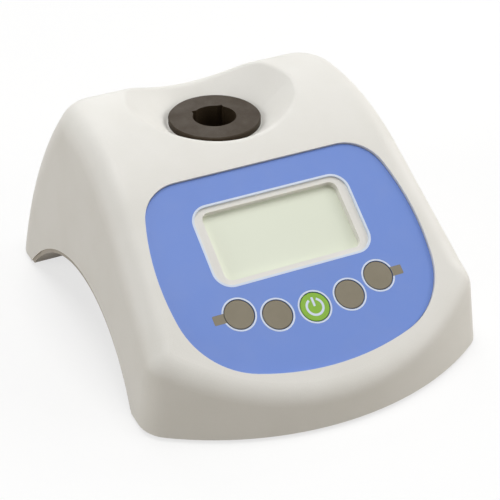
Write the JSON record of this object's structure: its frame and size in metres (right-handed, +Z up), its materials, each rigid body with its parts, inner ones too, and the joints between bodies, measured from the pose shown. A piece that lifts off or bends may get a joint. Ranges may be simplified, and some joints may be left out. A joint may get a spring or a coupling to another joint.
{
  "type": "turbidity meter",
  "caption": "Bench turbidity meter: off-white casing arched over a tunnel, sloping blue key panel with a display, and a dish in the roof with a flanged tube adapter.",
  "frame": {"origin": "middle of the footprint on the table, under the rubber feet", "axes": "+X to the right seen from the user, +Y from the front to the rear, +Z up"},
  "size_m": [0.1366, 0.1682, 0.0785],
  "materials": {
    "casing_plastic": "fine satin grain, off-white",
    "cover_plastic": "satin, light warm grey",
    "foot_rubber": "matt black",
    "overlay_film": "printed film, satin blue with a pale border",
    "display_pane": "smooth, pale grey-green",
    "backlight_plastic": "clear white",
    "frame_plastic": "matt black",
    "key_brown": "printed film over the key, satin brown-grey, pale ring",
    "key_green": "printed film over the key, satin green, pale ring",
    "adapter_plastic": "turned and moulded, satin dark brown",
    "block_plastic": "matt black",
    "circuit_board": "green solder mask",
    "component_plastic": "moulded black",
    "header_plastic": "moulded natural",
    "capacitor_can": "drawn can",
    "screw_steel": "zinc plated",
    "lamp_resin": "clear tinted resin",
    "filter_glass": "polished",
    "inlet_plastic": "moulded black",
    "seal_rubber": "soft black",
    "nut_brass": "nickel-free, plain",
    "lead_insulation": "soft black sheath",
    "ribbon_insulation": "soft grey"
  },
  "bodies": {
    "housing": {"upper_casing": "casing_plastic", "bottom_cover": "cover_plastic", "rubber_feet": "foot_rubber", "cover_screws": "screw_steel", "keypad_overlay": "overlay_film", "lcd_glass": "display_pane", "lcd_backlight": "backlight_plastic", "lcd_frame": "frame_plastic", "panel_board": "circuit_board", "key_switches": "component_plastic", "panel_screws": "screw_steel", "seal_ring": "seal_rubber", "optical_block": "block_plastic", "block_screws": "screw_steel", "light_source": "lamp_resin", "light_detector": "lamp_resin", "light_filter": "filter_glass", "source_board": "circuit_board", "detector_board": "circuit_board", "lamp_board_screws": "screw_steel", "main_board": "circuit_board", "main_board_screws": "screw_steel", "board_chips": "component_plastic", "board_capacitors": "capacitor_can", "board_headers": "header_plastic", "power_inlet": "inlet_plastic", "inlet_nut": "nut_brass", "power_lead": "lead_insulation", "source_lead": "lead_insulation", "detector_lead": "lead_insulation", "display_ribbon": "ribbon_insulation"},
    "key_far_left_body": {"key_far_left": "key_brown"},
    "key_left_body": {"key_left": "key_brown"},
    "key_power_body": {"key_power": "key_green"},
    "key_right_body": {"key_right": "key_brown"},
    "key_far_right_body": {"key_far_right": "key_brown"},
    "adapter_body": {"sample_adapter": "adapter_plastic"}
  },
  "joints": [
    {"name": "key_far_left_press", "type": "slide", "parent": "housing", "child": "key_far_left_body", "axis": [0, 0.5764, -0.8171], "range_m": [0, 0.0005], "stiffness_N_per_m": 600},
    {"name": "key_left_press", "type": "slide", "parent": "housing", "child": "key_left_body", "axis": [0, 0.5764, -0.8171], "range_m": [0, 0.0005], "stiffness_N_per_m": 600},
    {"name": "key_power_press", "type": "slide", "parent": "housing", "child": "key_power_body", "axis": [0, 0.5764, -0.8171], "range_m": [0, 0.0005], "stiffness_N_per_m": 600},
    {"name": "key_right_press", "type": "slide", "parent": "housing", "child": "key_right_body", "axis": [0, 0.5764, -0.8171], "range_m": [0, 0.0005], "stiffness_N_per_m": 600},
    {"name": "key_far_right_press", "type": "slide", "parent": "housing", "child": "key_far_right_body", "axis": [0, 0.5764, -0.8171], "range_m": [0, 0.0005], "stiffness_N_per_m": 600},
    {"name": "adapter_lift", "type": "slide", "parent": "housing", "child": "adapter_body", "axis": [0, 0, 1], "range_m": [0, 0.06]}
  ]
}
